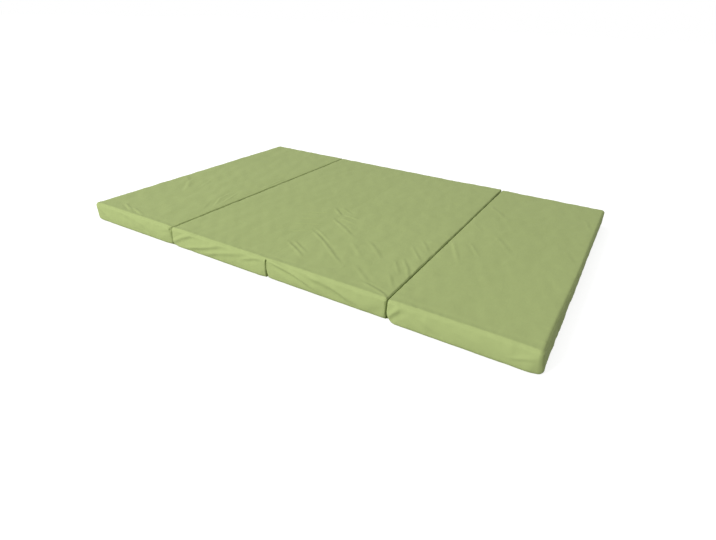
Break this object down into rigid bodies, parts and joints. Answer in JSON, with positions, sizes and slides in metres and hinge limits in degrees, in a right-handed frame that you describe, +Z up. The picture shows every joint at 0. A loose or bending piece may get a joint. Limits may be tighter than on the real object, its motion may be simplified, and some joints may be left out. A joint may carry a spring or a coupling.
{
  "type": "folding chair bed",
  "caption": "Foam folding chair bed: flat zipped cushions joined edge to edge, lying open as a mattress and folding zigzag into a seat or a stack.",
  "frame": {"origin": "on the floor, below the middle of the middle fold, with the bed lying open", "axes": "+X along the bed from section 1 to section 4, +Y from the plain front edge to the zip edge, +Z up"},
  "size_m": [1.8274, 1.2202, 0.076],
  "materials": {
    "cover_fabric": "matt woven polyester",
    "foam": "open-cell polyurethane foam",
    "zip_tape": "woven zip tape",
    "zip_teeth": "moulded teeth",
    "zip_metal": "enamelled zinc"
  },
  "bodies": {
    "section_1": {"foam_core_1": "foam", "top_panel_1": "cover_fabric", "bottom_panel_1": "cover_fabric", "side_band_1": "cover_fabric", "zip_strip_upper_1": "cover_fabric", "zip_strip_lower_1": "cover_fabric", "zip_tapes_1": "zip_tape", "zip_teeth_1": "zip_teeth", "zip_stops_1": "zip_metal"},
    "section_2": {"foam_core_2": "foam", "top_panel_2": "cover_fabric", "bottom_panel_2": "cover_fabric", "side_band_2": "cover_fabric", "zip_strip_upper_2": "cover_fabric", "zip_strip_lower_2": "cover_fabric", "zip_tapes_2": "zip_tape", "zip_teeth_2": "zip_teeth", "zip_stops_2": "zip_metal"},
    "section_3": {"foam_core_3": "foam", "top_panel_3": "cover_fabric", "bottom_panel_3": "cover_fabric", "side_band_3": "cover_fabric", "zip_strip_upper_3": "cover_fabric", "zip_strip_lower_3": "cover_fabric", "zip_tapes_3": "zip_tape", "zip_teeth_3": "zip_teeth", "zip_stops_3": "zip_metal"},
    "section_4": {"foam_core_4": "foam", "top_panel_4": "cover_fabric", "bottom_panel_4": "cover_fabric", "side_band_4": "cover_fabric", "zip_strip_upper_4": "cover_fabric", "zip_strip_lower_4": "cover_fabric", "zip_tapes_4": "zip_tape", "zip_teeth_4": "zip_teeth", "zip_stops_4": "zip_metal"},
    "slider_1": {"zip_slider_1": "zip_metal"},
    "pull_1": {"zip_pull_1": "zip_metal"},
    "slider_2": {"zip_slider_2": "zip_metal"},
    "pull_2": {"zip_pull_2": "zip_metal"},
    "slider_3": {"zip_slider_3": "zip_metal"},
    "pull_3": {"zip_pull_3": "zip_metal"},
    "slider_4": {"zip_slider_4": "zip_metal"},
    "pull_4": {"zip_pull_4": "zip_metal"}
  },
  "joints": [
    {"name": "fold_1_2", "type": "hinge", "parent": "section_2", "child": "section_1", "pos_m": [-0.458, 0, -0.00015], "axis": [0, -1, 0], "range_deg": [0, 180]},
    {"name": "fold_2_3", "type": "hinge", "parent": "section_2", "child": "section_3", "pos_m": [0, 0, 0.07615], "axis": [0, -1, 0], "range_deg": [0, 180]},
    {"name": "fold_3_4", "type": "hinge", "parent": "section_3", "child": "section_4", "pos_m": [0.458, 0, -0.00015], "axis": [0, 1, 0], "range_deg": [0, 180]},
    {"name": "zip_1", "type": "slide", "parent": "section_1", "child": "slider_1", "axis": [-1, 0, 0], "range_m": [0, 0.344]},
    {"name": "pull_1", "type": "hinge", "parent": "slider_1", "child": "pull_1", "pos_m": [-0.5145, 0.6094, 0.0365], "axis": [0, 0, -1], "range_deg": [0, 170]},
    {"name": "zip_2", "type": "slide", "parent": "section_2", "child": "slider_2", "axis": [-1, 0, 0], "range_m": [0, 0.344]},
    {"name": "pull_2", "type": "hinge", "parent": "slider_2", "child": "pull_2", "pos_m": [-0.0565, 0.6094, 0.0365], "axis": [0, 0, -1], "range_deg": [0, 170]},
    {"name": "zip_3", "type": "slide", "parent": "section_3", "child": "slider_3", "axis": [-1, 0, 0], "range_m": [0, 0.344]},
    {"name": "pull_3", "type": "hinge", "parent": "slider_3", "child": "pull_3", "pos_m": [0.4015, 0.6094, 0.0365], "axis": [0, 0, -1], "range_deg": [0, 170]},
    {"name": "zip_4", "type": "slide", "parent": "section_4", "child": "slider_4", "axis": [-1, 0, 0], "range_m": [0, 0.344]},
    {"name": "pull_4", "type": "hinge", "parent": "slider_4", "child": "pull_4", "pos_m": [0.8595, 0.6094, 0.0365], "axis": [0, 0, -1], "range_deg": [0, 170]}
  ]
}
